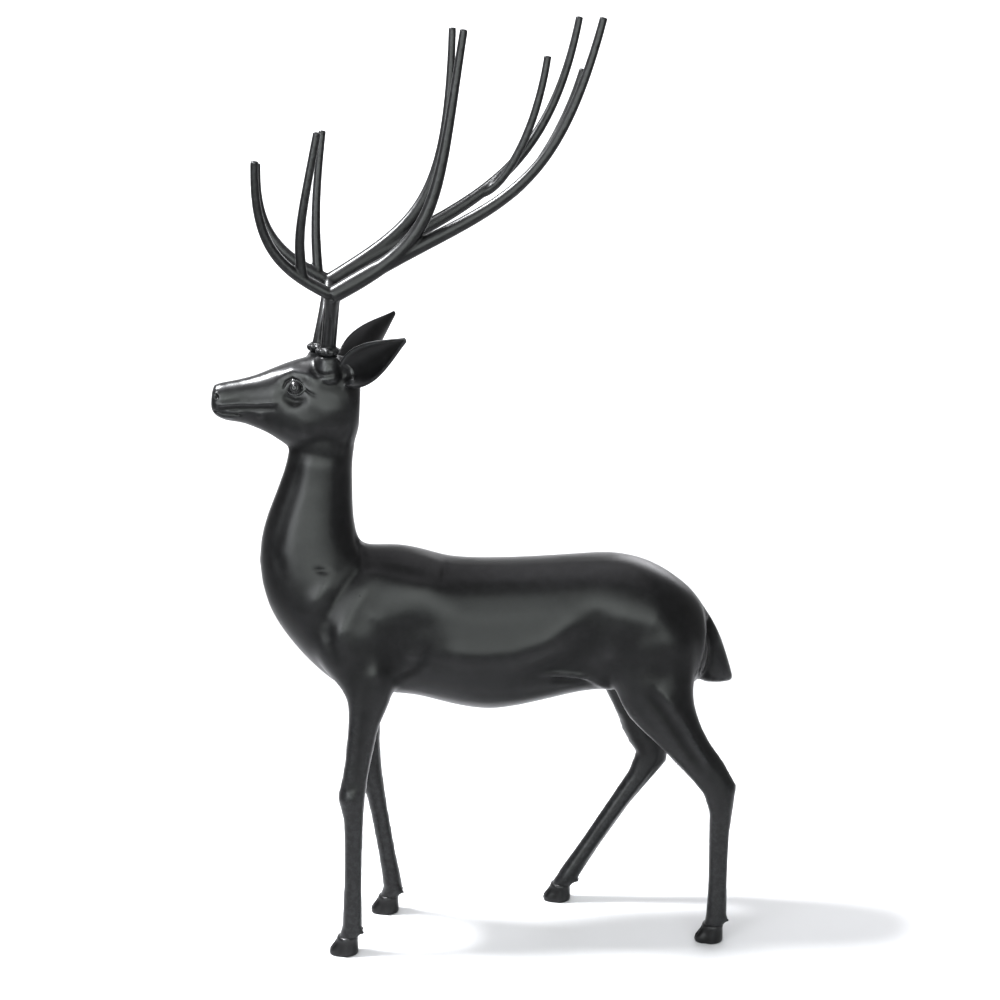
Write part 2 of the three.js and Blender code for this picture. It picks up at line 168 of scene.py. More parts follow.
# %% Backdrop
FLOOR_WIDTH, FLOOR_DEPTH = 24, 14
FLOOR_MIDDLE = (0, 1, -0.0005)          # a hair below the soles
WALL_HEIGHT = 9
SWEEP_RADIUS = 3

bpy.ops.mesh.primitive_plane_add(size=1, location=(0, 0, 0))
backdrop = bpy.context.active_object
backdrop.name = "backdrop"
backdrop.scale = (FLOOR_WIDTH, FLOOR_DEPTH, 1)
backdrop.location = FLOOR_MIDDLE
bpy.ops.object.transform_apply(location=True, rotation=True, scale=True)
edit_edges(backdrop, lambda place: place.y > FLOOR_MIDDLE[1])
bpy.ops.mesh.extrude_region_move(TRANSFORM_OT_translate={"value": (0, 0, WALL_HEIGHT)})
bpy.ops.object.mode_set(mode="OBJECT")
edit_edges(backdrop, lambda place: place.y > FLOOR_MIDDLE[1] and place.z < WALL_HEIGHT / 2)
bpy.ops.mesh.bevel(offset=SWEEP_RADIUS, segments=16, affect="EDGES")
bpy.ops.object.mode_set(mode="OBJECT")
bpy.ops.object.shade_smooth()
print("backdrop faces:", len(backdrop.data.polygons))

# %% Pale paper for the backdrop
PAPER_COLOR = (0.62, 0.62, 0.63, 1)

paper = bpy.data.materials.new("pale_paper")
paper.use_nodes = True
paper_shader = paper.node_tree.nodes["Principled BSDF"]
paper_shader.inputs["Base Color"].default_value = PAPER_COLOR
paper_shader.inputs["Roughness"].default_value = 0.9
backdrop.data.materials.append(paper)
print("backdrop material:", paper.name)

# %% [markdown]
# Black satin metal shows little of its own colour. What the eye reads is the reflection of soft, large
# lamps. A broad one overhead draws the back. One on the camera's side puts the grey sheen on ribs and
# haunch. One further to the front lights the neck, and a small, high one the brow. A dim one behind
# traces the far edges, and the last one lights the paper until it turns white. Gamma deepens the darks.

# %% Lamps
# Name, place, what it points at, width, height, power in watts, spread in degrees and tint
LAMPS = [
    ("lamp_overhead", (0, 0, 3.3), (0, 0, 0.8), 3.6, 2.6, 38, 180, (0.97, 0.95, 1.0)),
    ("lamp_camera_side", (-0.2, -3.7, 2.1), (-0.2, 0, 2.1), 5.6, 3.6, 108, 100, (0.94, 1.0, 0.97)),
    ("lamp_neck", (-2.6, -2.8, 1.6), (-0.2, 0, 1.0), 1.8, 2.2, 36, 120, (0.95, 0.98, 1.0)),
    ("lamp_front", (-1.6, 0.3, 3.3), (-0.3, 0, 1.0), 0.6, 0.6, 34, 60, (0.97, 0.98, 1.0)),
    ("lamp_behind", (1.8, 2.6, 2.2), (0, 0, 0.9), 1.6, 1.6, 14, 120, (0.97, 0.97, 1.0)),
    ("lamp_backdrop", (0, 3.6, 4.6), (0, 7, 1.2), 7.0, 1.6, 620, 180, (1.0, 1.0, 1.0)),
]
ROOM_LIGHT = 0.45
GAMMA = 0.85


def softbox(name, place, target, width, height, power, spread, tint):
    lamp_data = bpy.data.lights.new(name, "AREA")
    lamp_data.shape = "RECTANGLE"
    lamp_data.size = width
    lamp_data.size_y = height
    lamp_data.energy = power
    lamp_data.spread = math.radians(spread)
    lamp_data.color = tint
    lamp = bpy.data.objects.new(name, lamp_data)
    lamp.location = place
    lamp.rotation_euler = (Vector(target) - Vector(place)).to_track_quat("-Z", "Y").to_euler()
    bpy.context.scene.collection.objects.link(lamp)


for lamp_values in LAMPS:
    softbox(*lamp_values)
world = bpy.data.worlds.new("studio")
bpy.context.scene.world = world
world.use_nodes = True
world.node_tree.nodes["Background"].inputs["Color"].default_value = (1, 1, 1, 1)
world.node_tree.nodes["Background"].inputs["Strength"].default_value = ROOM_LIGHT
bpy.context.scene.view_settings.view_transform = "Standard"
bpy.context.scene.view_settings.gamma = GAMMA

# %% [markdown]
# ## The body
# A figure like this is modelled in clay over a plain core. The core here is a copy of the solid. Its
# facets have to go, and the places where legs, head and tail meet the trunk have to flow into it. A voxel
# remesh turns the copy into one even skin of small squares, as wax poured over it would be. The ears and
# hooves need finer work than that skin can carry, so they are taken off first and modelled on their own.

# %% Copy the solid and close its surface
body = bpy.data.objects.new("stag_casting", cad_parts["stag_body"].data.copy())
bpy.context.scene.collection.objects.link(body)
pick(body)
bpy.ops.object.mode_set(mode="EDIT")
bpy.ops.mesh.select_all(action="SELECT")
bpy.ops.mesh.remove_doubles(threshold=0.00001)
bpy.ops.object.mode_set(mode="OBJECT")
print("faces of the copy:", len(body.data.polygons))

# %% Where the ears grow
MIDDLE_Y = 0.0001                       # the figure's middle plane in the shared frame
EAR_LENGTH = 0.147
EAR_WIDTH = 0.070
EAR_INSET = 0.018                       # how deep an ear starts inside the skull
EAR_X, EAR_FROM_MIDDLE, EAR_Z = -0.2271, 0.034, 1.022
EAR_BACKWARDS, EAR_OUTWARDS = 0.668, 0.583
EAR_UPWARDS = {LEFT: 0.5, RIGHT: 0.6}


def ear_line(side):
    """The place inside the skull where an ear starts, and the direction in which it points."""
    along = Vector((EAR_BACKWARDS, side * EAR_OUTWARDS, EAR_UPWARDS[side])).normalized()
    root = Vector((EAR_X, side * EAR_FROM_MIDDLE + MIDDLE_Y, EAR_Z)) - along * EAR_INSET
    return root, along


for side in (LEFT, RIGHT):
    print("ear from", [round(v, 3) for v in ear_line(side)[0]])


# %% Take off the ears and the hooves
EAR_STUB = 0.036                        # what stays of the solid's ear
EAR_ROOM = 0.06                         # no part of an ear is farther from its line
PASTERN_CUT = 0.024                     # the legs end here, inside the hooves

middles = face_middles(body)
cut_off = np.zeros(len(middles), bool)
for side in (LEFT, RIGHT):
    root, along = [np.array(place) for place in ear_line(side)]
    reach = (middles - root) @ along
    beside = np.linalg.norm(middles - root - reach[:, None] * along, axis=1)
    cut_off |= (reach > EAR_STUB) & (beside < EAR_ROOM)
edit_faces(body, cut_off)
bpy.ops.mesh.delete(type="FACE")
bpy.ops.mesh.select_all(action="SELECT")
bpy.ops.mesh.fill_holes(sides=0)
bpy.ops.mesh.select_all(action="SELECT")
bpy.ops.mesh.bisect(plane_co=(0, 0, PASTERN_CUT), plane_no=(0, 0, 1), use_fill=True, clear_inner=True)
bpy.ops.object.mode_set(mode="OBJECT")
print("ear faces taken off:", int(cut_off.sum()), "lowest point", round(places_of(body)[:, 2].min(), 4))

# %% Pour the even skin
SKIN_STEP = 0.0044

apply_modifier(body, "REMESH", mode="VOXEL", voxel_size=SKIN_STEP, use_smooth_shade=True)
print("skin faces:", len(body.data.polygons))

# %% [markdown]
# Smoothing rounds the facets off. Broad forms can take a lot of it, while thin legs and the face would
# melt, so a vertex group says how much each place gets: all of it on trunk and neck, little on the legs and
# the head. What smoothing takes off is put back by moving the skin outwards, a little more on the legs.
# Just above the hooves the skin is drawn in, so that each leg goes down inside its hoof's rim of hair.

# %% Soften the facets
EYE_X, EYE_Z = -0.3115, 1.0035          # the middle of each eye in the side view
GROUP_LEVELS = 40
PUT_BACK = 0.0013
PUT_BACK_ON_LEGS = 0.0006
DRAWN_IN_AT_HOOVES = 0.0026


def add_group(piece, name, weights):
    """Makes a vertex group from one weight for each vertex, in a few even levels."""
    group = piece.vertex_groups.new(name=name)
    levels = np.round(np.clip(weights, 0, 1) * GROUP_LEVELS).astype(int)
    for level in np.unique(levels):
        if level:
            group.add(np.flatnonzero(levels == level).tolist(), level / GROUP_LEVELS, "REPLACE")


def on_head(places):
    return smooth_step(places[:, 2], 0.845, 0.885) * smooth_step(-places[:, 0], 0.14, 0.19)


x, _, z = places_of(body).T
lower_leg = 1 - smooth_step(z, 0.33, 0.47)
tail = smooth_step(x, 0.365, 0.40)
eye_place = smooth_step(-np.hypot(x - EYE_X, z - EYE_Z), -0.028, -0.018)
firm = np.maximum.reduce([lower_leg, on_head(places_of(body)) * (1 - eye_place), tail * 0.8])
add_group(body, "soft", 1 - 0.9 * firm)
apply_modifier(body, "SMOOTH", factor=0.5, iterations=70, vertex_group="soft")
at_hooves = 1 - smooth_step(z, 0.026, 0.042)
outwards = PUT_BACK + PUT_BACK_ON_LEGS * lower_leg - DRAWN_IN_AT_HOOVES * at_hooves
set_places(body, places_of(body) + normals_of(body) * outwards[:, None])
print("body from", places_of(body).min(0).round(4), "to", places_of(body).max(0).round(4))

# %% [markdown]
# ## Muscles and folds
# Now comes what a sculptor does with thumb and wire: the shoulder blade stands out over a deep hollow, two
# folds of skin run from the neck to the breast, the flank sinks in front of the haunch, and tendons show
# above the hocks. Each is one stroke along a line of the side view. The skin near the line moves outwards,
# or inwards where the height is negative, most at the line itself and softly less away from it.

# %% A sculpting stroke
STROKE_REACH = 2.5        # half widths from its line, past which a stroke is too faint to matter
END_SHARE = 0.5           # how much of a stroke is left at its ends
END_RISE = 0.3            # what it regains with each half width away from the end


def distance_to_line(points, line):
    """How far each point is from a line through places, and how far its foot is from the nearer end."""
    if len(line) == 1:
        return np.linalg.norm(points - line[0], axis=1), np.full(len(points), np.inf)
    lengths = np.linalg.norm(np.diff(line, axis=0), axis=1)
    nearest = np.full(len(points), np.inf)
    along = np.zeros(len(points))
    for k, (start, end) in enumerate(zip(line, line[1:])):
        share = np.clip((points - start) @ (end - start) / lengths[k] ** 2, 0, 1)
        distance = np.linalg.norm(points - start - share[:, None] * (end - start), axis=1)
        closer = distance < nearest
        nearest[closer] = distance[closer]
        along[closer] = (lengths[:k].sum() + share * lengths[k])[closer]
    return nearest, np.minimum(along, lengths.sum() - along)


def carve(piece, both=(), left=(), right=()):
    """Strokes on both sides or on one: places (x, z), half width and height, all in millimetres."""
    places, normals = places_of(piece), normals_of(piece)
    side_view = places[:, [0, 2]] * 1000
    faces_sideways = smooth_step(np.abs(normals[:, 1]), 0.1, 0.5)
    moved = np.zeros(len(places))
    everywhere = np.ones(len(places), bool)
    for strokes, on_side in ((both, everywhere), (left, places[:, 1] < 0), (right, places[:, 1] > 0)):
        for line, width, height in strokes:
            line = np.array(line, float)
            low, high = line.min(0) - STROKE_REACH * width, line.max(0) + STROKE_REACH * width
            near = np.all((side_view > low) & (side_view < high), axis=1) & on_side
            distance, from_end = distance_to_line(side_view[near], line)
            soft_ends = np.minimum(1, END_SHARE + END_RISE * from_end / width)
            moved[near] += height * np.exp(-(distance / width) ** 2) * soft_ends * faces_sideways[near]
    set_places(piece, places + normals * moved[:, None] / 1000)
    count = len(both) + len(left) + len(right)
    print(piece.name, count, "strokes, from", round(moved.min(), 1), "to", round(moved.max(), 1), "mm")


# %% Neck and shoulder
carve(body, both=[
    ([(-189, 681), (-211, 647), (-235, 611), (-253, 575)], 15, 4),        # fold from the neck
    ([(-208, 694), (-230, 672), (-251, 644), (-271, 612)], 9, -3),        # groove in front of it
    ([(-256, 688), (-279, 653), (-295, 624)], 14, 4),                     # second fold
    ([(-284, 695), (-266, 692)], 4, -2.4),                                # short crease in front of it
    ([(-268, 600), (-262, 570), (-252, 545)], 12, -4),                    # between breast and shoulder
    ([(-158, 660), (-98, 656), (-62, 638)], 24, 4),                       # shoulder blade
    ([(-185, 550), (-150, 546), (-108, 552)], 44, -11),                   # hollow below it
    ([(-150, 592), (-104, 596)], 20, -4),                                 # below the shoulder blade
    ([(-232, 515)], 30, -5),                                              # beside the breast
    ([(-194, 622), (-184, 612)], 12, 3),                                  # point of the shoulder
    ([(-128, 544)], 9, 2.5),                                              # small swelling in the hollow
    ([(-100, 560), (-106, 536), (-122, 514), (-150, 500)], 8, -3.5),      # behind the upper arm
    ([(-190, 512)], 14, 2),                                               # elbow
    ([(-212, 742), (-207, 716), (-199, 698)], 7, -3),                     # neck against withers
    ([(-203, 702), (-150, 690), (-95, 676)], 10, -1.6),                   # edge of the withers
    ([(-64, 690), (-68, 668)], 5, -1.5),                                  # short crease behind it
    ([(-308, 876), (-318, 830), (-338, 776), (-352, 724), (-340, 680)], 12, -2),  # along the throat
    ([(-236, 866), (-238, 800), (-240, 750)], 11, -1.5),                  # along the nape
    ([(-318, 897), (-300, 891), (-262, 884), (-228, 883)], 12, -2),       # below the jaw
])

# %% Ribs, flank, haunch and tail
carve(body, both=[
    ([(-92, 548), (-20, 540), (50, 542), (105, 560), (142, 592)], 27, 6),  # edge of the ribs
    ([(60, 494), (112, 508), (156, 536), (180, 572), (188, 592)], 27, -8.5),  # flank
    ([(246, 610), (285, 595), (330, 572)], 32, 5),                        # haunch
    ([(218, 542)], 15, 3),
    ([(264, 508), (300, 504), (344, 502)], 34, -7),                       # hollow below the haunch
    ([(122, 486), (148, 483), (174, 484)], 7, -6),                        # groin
    ([(98, 500), (140, 497), (176, 494)], 6, 3.5),
    ([(162, 494), (190, 486), (216, 464)], 7, 4),
    ([(404, 576), (394, 545), (387, 505), (385, 464)], 4, -4),            # in front of the tail
    ([(416, 560), (408, 520), (404, 475)], 10, 2),
])

# %% Tendons of the hind legs
carve(body, left=[
    ([(216, 464), (246, 440), (280, 392), (318, 340)], 8, 4),             # front edge of the thigh
    ([(285, 466), (318, 420), (352, 366), (376, 330)], 11, -5),
    ([(303, 468), (320, 444), (338, 414)], 10, 3.5),
    ([(346, 404), (362, 376), (388, 330)], 9, 3.5),
    ([(426, 268), (424, 180), (420, 80)], 5, 1.5),                        # hock to fetlock
    ([(414, 262), (413, 180), (412, 82)], 4, -1.8),
], right=[
    ([(216, 464), (236, 430), (262, 370)], 8, 3.5),
    ([(300, 452), (308, 400), (316, 336)], 10, -4),
    ([(326, 440), (334, 395), (340, 330)], 9, 3),
    ([(330, 262), (262, 162), (200, 70)], 4, -1.8),
])

# %% Tendons of the front legs
carve(body, left=[
    ([(-222, 470), (-228, 400), (-238, 320)], 9, 3),                      # forearm
    ([(-205, 455), (-214, 390), (-224, 312)], 6, -2.5),
    ([(-229, 262), (-231, 180), (-232, 84)], 4, -1.8),                    # knee to fetlock
    ([(-236, 289)], 12, 2),                                               # knee
], right=[
    ([(-222, 470), (-216, 400), (-206, 310)], 9, 3),
    ([(-198, 450), (-194, 380), (-190, 304)], 6, -2.5),
    ([(-187, 250), (-172, 160), (-157, 84)], 4, -1.8),
    ([(-198, 278)], 12, 2),
])

# %% A finer skin for the head
HEAD_ABOVE, HEAD_IN_FRONT_OF = 0.87, -0.19


def divide_faces(piece, chosen):
    edit_faces(piece, chosen)
    bpy.ops.mesh.subdivide(number_cuts=1)
    bpy.ops.object.mode_set(mode="OBJECT")


middles = face_middles(body)
divide_faces(body, (middles[:, 2] > HEAD_ABOVE) & (middles[:, 0] < HEAD_IN_FRONT_OF))
body.vertex_groups.clear()
add_group(body, "head", on_head(places_of(body)))
apply_modifier(body, "SMOOTH", factor=0.5, iterations=6, vertex_group="head")
print("skin faces:", len(body.data.polygons))

# %% [markdown]
# ## The face
# The face carries the figure's expression, so its forms follow the photograph closely: the eye lies deep
# under a heavy brow, the cheek swells behind it, and a ridge runs from the nostril along the upper lip.
# Broad strokes come first. Then the skin around the nose and the eyes is divided once more, because a
# mouth line and a nostril are only two or three millimetres wide.

# %% Broad forms of the face
carve(body, both=[
    ([(EYE_X * 1000 - 3, EYE_Z * 1000 - 5)], 18, -8),                     # eye socket
    ([(-334, 990), (-320, 979), (-300, 976)], 9, -2.5),                   # hollow below it
    ([(-334, 1021), (-314, 1029), (-290, 1025), (-276, 1012)], 8, 3.5),   # brow
    ([(-336, 934), (-300, 934), (-268, 946)], 23, 5),                     # cheek
    ([(-252, 972)], 30, 3),                                               # temple
    ([(-370, 957)], 7, 1.4),                                              # back of the lower lip
    ([(-436, 966), (-408, 968), (-378, 968), (-348, 969)], 4.5, -1.8),    # groove above the mouth
    ([(-440, 974), (-404, 976.5), (-376, 976), (-344, 979)], 3.2, 1.8),   # ridge of the upper lip
    ([(-283, 1028), (-262, 1024), (-244, 1027)], 4, -2),                  # below the pedicle
])

# %% A still finer skin for nose and eyes
EYE_ZONE = 0.024
NOSE_ABOVE, NOSE_IN_FRONT_OF = 0.93, -0.404

middles = face_middles(body)
near_eye = np.hypot(middles[:, 0] - EYE_X, middles[:, 2] - EYE_Z) < EYE_ZONE
near_nose = (middles[:, 0] < NOSE_IN_FRONT_OF) & (middles[:, 2] > NOSE_ABOVE)
divide_faces(body, near_eye | near_nose)
print("skin faces:", len(body.data.polygons))

# %% Nostrils, mouth and the creases around the eye
NOSTRIL_X, NOSTRIL_Z = -441, 988
RIM_HALF_LENGTH, RIM_HALF_HEIGHT = 4.0, 5.2

rim_angles = [0.5 * k for k in range(1, 11)]
nostril_rim = [(NOSTRIL_X + RIM_HALF_LENGTH * math.cos(angle), NOSTRIL_Z + RIM_HALF_HEIGHT * math.sin(angle))
               for angle in rim_angles]
carve(body, both=[
    ([(NOSTRIL_X, NOSTRIL_Z + 1.5), (NOSTRIL_X + 0.5, NOSTRIL_Z - 1.5)], 2.6, -4),
    (nostril_rim, 1.6, 1.1),
    ([(-446, 962), (-432, 959), (-418, 958), (-402, 956)], 1.5, -2.6),    # mouth
    ([(-408, 957)], 2.6, -1.8),                                           # its corner
    ([(-424, 963), (-402, 961)], 2, 1.1),                                 # upper lip
    ([(-436, 953), (-414, 951)], 3, 1.3),                                 # lower lip
    ([(-330, 1004), (-326, 1013), (-315, 1019), (-305, 1014), (-299, 1006)], 2.2, -1.8),  # above the lid
    ([(-297, 1003), (-288, 996), (-277, 990)], 2.2, -1.6),                # outer corner
    ([(-326, 986), (-312, 980), (-297, 983)], 6, -2.2),                   # below the lower lid
])

# %% [markdown]
# ## Swept rods
# The corners of the eyes and the tines of the antlers are round rods that bend in one sweep and get thinner.
# A Bezier curve with two ends and a round bevel gives just that, and a radius at each end makes it taper.

# %% One swept rod
def swept_rod(ends_and_handles, root_diameter, tip_diameter, lengthen=0.0):
    """A rod through a start, two handles and an end, with its tip carried on by a given length."""
    start, handle_out, handle_in, end = [Vector(place) for place in ends_and_handles]
    end = end + (end - handle_in).normalized() * lengthen
    bpy.ops.curve.primitive_bezier_curve_add(location=(0, 0, 0))
    rod = bpy.context.active_object
    rod.data.dimensions = "3D"
    rod.data.resolution_u = 48
    rod.data.bevel_depth = root_diameter / 2
    rod.data.bevel_resolution = 5
    rod.data.use_fill_caps = True
    first, last = rod.data.splines[0].bezier_points
    for point in (first, last):
        point.handle_left_type = point.handle_right_type = "FREE"
    first.co, first.handle_right, first.handle_left = start, handle_out, start * 2 - handle_out
    last.co, last.handle_left, last.handle_right = end, handle_in, end * 2 - handle_in
    first.radius, last.radius = 1, tip_diameter / root_diameter
    pick(rod)
    bpy.ops.object.convert(target="MESH")
    return bpy.context.active_object


# %% [markdown]
# ## Eyes
# An eye is a ball in its socket, held by two thick lids that meet in long corners. The lids start as a
# ring whose ends are drawn out, and a short rod carries the outer corner on over the cheekbone. Ball, ring
# and rod become one skin. The ring of the iris and the pupil are pressed into the ball last.

# %% Ball and lids of an eye
BALL_RADIUS = 0.0126
BALL_DEPTH = 0.45                       # how deep the ball's middle lies, as a share of its radius
LID_RADIUS = 0.0143
LID_THICKNESS = 0.0052
LID_FORWARDS = 0.0054                   # from the ball's middle to the ring of the lids
CORNER = Vector((0.0162, -0.0072, -0.0045))       # from the ball's middle to the lids' outer corner
CORNER_DIAMETERS = (0.0036, 0.0014)
EYE_SKIN_STEP = 0.0007
LOOK = Vector((-0.24, -0.93, 0.20)).normalized()


def make_lids(middle):
    """A ring around the ball, drawn out where the lids meet and flattened above and below."""
    bpy.ops.mesh.primitive_torus_add(
        major_radius=LID_RADIUS, minor_radius=LID_THICKNESS / 2, major_segments=64, minor_segments=12,
        location=middle + LOOK * LID_FORWARDS, rotation=LOOK.to_track_quat("Z", "Y").to_euler())
    lids = bpy.context.active_object
    ring = places_of(lids)
    outwards = np.clip(np.abs(ring[:, 0]) / LID_RADIUS, 0, 1.2)
    ring[:, 0] *= 1 + 0.20 * outwards ** 4
    ring[:, 1] *= 0.86 - 0.16 * outwards ** 4
    ring[:, 2] -= 0.0022 * outwards ** 3
    set_places(lids, ring)
    return lids


def press_iris(eye, middle):
    """Presses the ring of the iris and the pupil into the front of the ball."""
    look = np.array(LOOK)
    from_middle = places_of(eye) - np.array(middle)
    forwards = from_middle @ look
    around = np.linalg.norm(from_middle - forwards[:, None] * look, axis=1) * 1000
    on_ball = (forwards > 0) & (around < 8)
    ring = 0.5 * np.exp(-((around - 5.2) / 0.8) ** 2)
    pupil = 0.7 * np.exp(-(around / 1.8) ** 2)
    set_places(eye, places_of(eye) - np.outer((ring + pupil) * on_ball / 1000, look))


# %% The left eye, and its mirror image
def make_eye():
    x, y, z = places_of(body).T
    skin_y = y[np.hypot(x - EYE_X, z - EYE_Z) < 0.003].min()
    middle = Vector((EYE_X, skin_y, EYE_Z)) - LOOK * BALL_RADIUS * BALL_DEPTH
    lids = make_lids(middle)
    bpy.ops.mesh.primitive_uv_sphere_add(segments=40, ring_count=24, radius=BALL_RADIUS, location=middle)
    ball = bpy.context.active_object
    corner = middle + CORNER
    corner_line = [corner, corner + Vector((0.006, -0.0005, -0.002)), corner + Vector((0.012, 0, -0.004)),
                   corner + Vector((0.019, 0.0012, -0.0075))]
    rod = swept_rod(corner_line, *CORNER_DIAMETERS)
    eye = join_pieces([ball, lids, rod], "eye_left")
    apply_modifier(eye, "REMESH", mode="VOXEL", voxel_size=EYE_SKIN_STEP, use_smooth_shade=True)
    apply_modifier(eye, "SMOOTH", factor=0.5, iterations=3)
    press_iris(eye, middle)
    return eye


eye_left = make_eye()
eye_right = bpy.data.objects.new("eye_right", eye_left.data.copy())
bpy.context.scene.collection.objects.link(eye_right)
set_places(eye_right, places_of(eye_left) * (1, -1, 1))
pick(eye_right)
bpy.ops.object.mode_set(mode="EDIT")
bpy.ops.mesh.select_all(action="SELECT")
bpy.ops.mesh.normals_make_consistent(inside=False)
bpy.ops.object.mode_set(mode="OBJECT")
eyes = [eye_left, eye_right]
print("eye faces:", len(eye_left.data.polygons))

# %% [markdown]
# ## Ears
# A deer's ear is a cupped leaf on a narrow stalk. It starts here as a flat grid, which is bent into the leaf
# in code: one direction runs from the root to the tip and the other one across, from edge to edge. The lower
# edge is the fuller one. Solidify gives the ear its wall, and one subdivision rounds the rim.

# %% Ears
EAR_WALL = 0.0052
UPPER_FULLNESS, LOWER_FULLNESS = 0.97, 1.10


def make_ear(side):
    root, along = ear_line(side)
    wide = (Vector((0, 0, 1)) - along * along.z).normalized()
    hollow = along.cross(wide) * -side
    bpy.ops.mesh.primitive_grid_add(x_subdivisions=30, y_subdivisions=14, size=2)
    ear = bpy.context.active_object
    ear.name = "ear_left" if side == LEFT else "ear_right"
    share = 0.08 + 0.925 * (places_of(ear)[:, 0] / 2 + 0.5)
    across = places_of(ear)[:, 1]
    swelling = 0.25 + 0.75 * np.sin(np.pi * np.clip(share, 0, 1) ** 0.85)
    half_width = EAR_WIDTH / 2 * swelling * (1 - 0.3 * share ** 2) * (1 - 0.35 * share ** 8)
    cup = half_width * 0.75 * (1 - 0.55 * share)
    rim = 0.0016 * np.abs(across) ** 6 * np.sin(np.pi * np.clip(share, 0, 1))
    depth = cup * (across * across - 0.5) + rim
    fullness = np.where(across < 0, LOWER_FULLNESS, UPPER_FULLNESS)
    places = (np.array(root) + np.outer((EAR_LENGTH + EAR_INSET) * share, along)
              + np.outer(half_width * fullness * across, wide) + np.outer(depth, hollow))
    set_places(ear, places)
    apply_modifier(ear, "SOLIDIFY", thickness=EAR_WALL, offset=-side)
    apply_modifier(ear, "SUBSURF", levels=1, render_levels=1)
    bpy.ops.object.shade_smooth()
    return ear


ears = [make_ear(side) for side in (LEFT, RIGHT)]
print("ear faces:", [len(ear.data.polygons) for ear in ears])

# %% [markdown]
# ## Hooves
# Each foot ends in two claws with a cleft between them, under a soft rim of hair. One hoof is modelled
# from a circle that is extruded down and widened towards the toe. The cleft is then pressed into the toe,
# and the finished hoof is copied to the four legs.

# %% One hoof
# Rings from the hair rim down: height, length, width, and how far the heel stands in from its line
HOOF_RINGS = [
    (0.0335, 0.0300, 0.0300, 0.0030),
    (0.0325, 0.0352, 0.0352, 0.0004),
    (0.0300, 0.0372, 0.0370, -0.0004),
    (0.0270, 0.0376, 0.0368, 0.0000),
    (0.0225, 0.0400, 0.0370, 0.0002),
    (0.0160, 0.0452, 0.0383, 0.0000),
    (0.0110, 0.0492, 0.0395, -0.0002),
    (0.0050, 0.0508, 0.0400, -0.0003),
    (0.0015, 0.0502, 0.0394, 0.0000),
    (0.0000, 0.0482, 0.0374, 0.0010),
]
CLEFT_HALF_WIDTH = 0.0026
CLEFT_LENGTH = 0.022
TOE_NARROWING = 0.16


def ring_middle(ring):
    return -ring[3] - ring[1] / 2


def make_hoof():
    """A hoof with the middle of its heel at the origin and its toe towards -X."""
    top = HOOF_RINGS[0]
    bpy.ops.mesh.primitive_circle_add(vertices=96, radius=0.5, fill_type="NGON", location=(0, 0, 0))
    hoof = bpy.context.active_object
    bpy.ops.object.mode_set(mode="EDIT")
    bpy.ops.mesh.select_all(action="SELECT")
    bpy.ops.transform.resize(value=(top[1], top[2], 1))
    bpy.ops.transform.translate(value=(ring_middle(top), 0, top[0]))
    for above, ring in zip(HOOF_RINGS, HOOF_RINGS[1:]):
        bpy.ops.mesh.extrude_region_move(TRANSFORM_OT_translate={"value": (0, 0, ring[0] - above[0])})
        bpy.ops.transform.resize(value=(ring[1] / above[1], ring[2] / above[2], 1))
        bpy.ops.transform.translate(value=(ring_middle(ring) - ring_middle(above), 0, 0))
    bpy.ops.mesh.select_all(action="SELECT")
    bpy.ops.mesh.normals_make_consistent(inside=False)
    bpy.ops.object.mode_set(mode="OBJECT")
    places = places_of(hoof)
    below_rim = smooth_step(-places[:, 2], -0.0270, -0.0230)
    towards_toe = smooth_step(-places[:, 0], 0.020, 0.034)
    notch = np.clip(1 - (np.abs(places[:, 1]) / CLEFT_HALF_WIDTH) ** 2, 0, 1)
    places[:, 1] *= 1 - TOE_NARROWING * towards_toe * below_rim
    places[:, 0] += CLEFT_LENGTH * notch * below_rim * towards_toe
    set_places(hoof, places)
    pick(hoof)
    bpy.ops.object.shade_smooth_by_angle(angle=math.radians(50))
    return hoof


# %% Copies of the hoof on the four feet
# Where the middle of each heel stands on the ground
HEELS = {
    "front_left": (-0.2249, -0.0799),
    "front_right": (-0.1449, 0.0801),
    "rear_left": (0.4231, -0.0979),
    "rear_right": (0.1761, 0.0981),
}
first_hoof = make_hoof()
hoof_places = places_of(first_hoof)
hooves = [first_hoof] + [bpy.data.objects.new("hoof", first_hoof.data.copy()) for _ in range(3)]
for hoof, (name, heel) in zip(hooves, HEELS.items()):
    hoof.name = "hoof_" + name
    if hoof != first_hoof:
        bpy.context.scene.collection.objects.link(hoof)
    set_places(hoof, hoof_places + np.array([*heel, 0]))
print("hooves", [hoof.name for hoof in hooves])

# %% [markdown]
# ## Antlers
# Each tine of an antler is a swept rod, and so is the stem that carries them. The burr at its foot is a disc
# with a ring of pearls. All of them become one skin by a fine voxel remesh, and light smoothing leaves a
# small fillet wherever a tine springs from the beam, like a weld that was dressed with a file. Last, upright
# flutes are pressed into the stem.

# %% Sizes of the antlers
BURR_X = {LEFT: -0.2551, RIGHT: -0.2691}
STEM_LEAN = {LEFT: 0.003, RIGHT: 0.008}
BURR_Y = 0.024
SEAT = 1.0553
BURR_DIAMETER = 0.042
BURR_HEIGHT = 0.013
STEM_DIAMETER = 0.026
BEAM_DIAMETER = 0.028
BROW_DIAMETER = 0.021
TIP_DIAMETER = 0.013
TIP_EXTRA = 0.0054          # how far each tip goes past its end, before smoothing wears it down
ANTLER_REACH = 0.101        # sideways, from the burr to the tips
FORK = (0.008, 0.62, 0.108)
PEARLS = 11
PEARL_RADIUS = 0.0052
FLUTES = 7
FLUTE_DEPTH = 0.0016
SCRATCHES = 17
SCRATCH_DEPTH = 0.0003
SWEEP_STEPS = 200
ANTLER_SKIN_STEP = 0.0018
